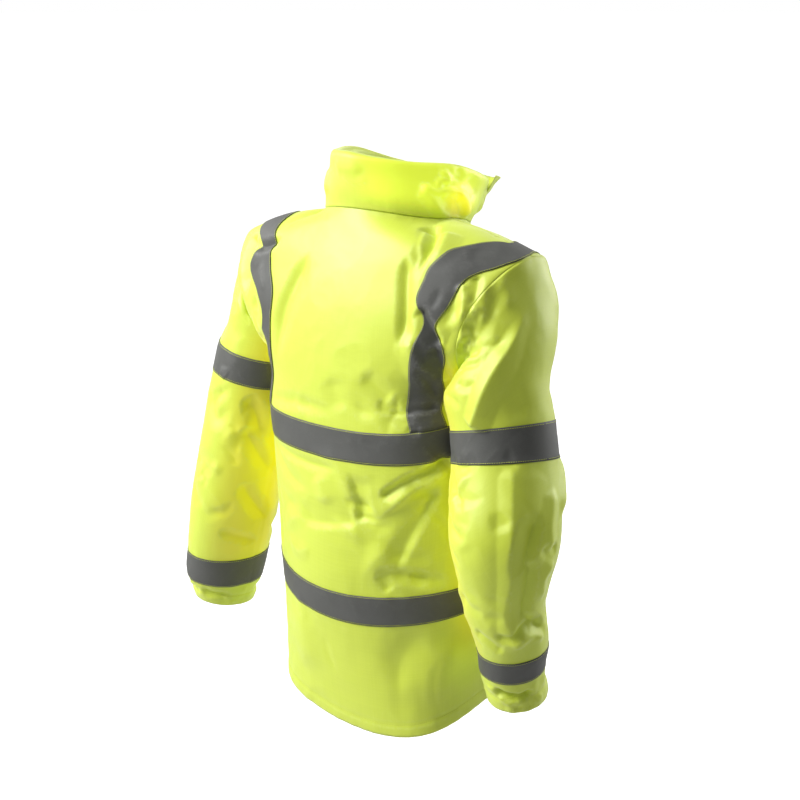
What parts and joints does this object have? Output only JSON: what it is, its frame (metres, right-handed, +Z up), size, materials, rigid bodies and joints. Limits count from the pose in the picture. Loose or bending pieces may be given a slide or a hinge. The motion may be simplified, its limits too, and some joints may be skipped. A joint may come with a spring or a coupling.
{
  "type": "hi-vis work jacket",
  "caption": "Hip-length hi-vis work jacket in its worn form, with a stand collar, zip and storm flap, bent sleeves and reflective tape bands and braces.",
  "frame": {"origin": "middle of the neck opening at the collar seam, where the wearer's neck and shoulders hold the jacket", "axes": "+Z up, -Y towards the front with its zip, +X towards the wearer's left"},
  "size_m": [0.7956, 0.4252, 0.9189],
  "materials": {
    "hi_vis_cloth": "coated plain weave in fluorescent yellow, soft sheen",
    "reflective_tape": "grey retroreflective tape, matt with a fine grain",
    "zip_tape": "black woven zip tape",
    "zip_teeth": "moulded pale teeth",
    "zip_metal": "die-cast nickel"
  },
  "bodies": {
    "jacket": {"back_panel": "hi_vis_cloth", "front_left": "hi_vis_cloth", "front_right": "hi_vis_cloth", "sleeve_left": "hi_vis_cloth", "sleeve_right": "hi_vis_cloth", "collar": "hi_vis_cloth", "storm_flap": "hi_vis_cloth", "chest_band": "reflective_tape", "lower_band": "reflective_tape", "brace_left": "reflective_tape", "brace_right": "reflective_tape", "sleeve_band_left_upper": "reflective_tape", "sleeve_band_left_lower": "reflective_tape", "sleeve_band_right_upper": "reflective_tape", "sleeve_band_right_lower": "reflective_tape", "zip_tape": "zip_tape", "zip_chain": "zip_teeth", "zip_slider": "zip_metal"},
    "pull_tab": {"zip_pull": "zip_metal"}
  },
  "joints": [
    {"name": "pull_swing", "type": "hinge", "parent": "jacket", "child": "pull_tab", "pos_m": [0.0002, -0.1892, -0.0043], "axis": [-1, 0, 0], "range_deg": [0, 28]}
  ]
}
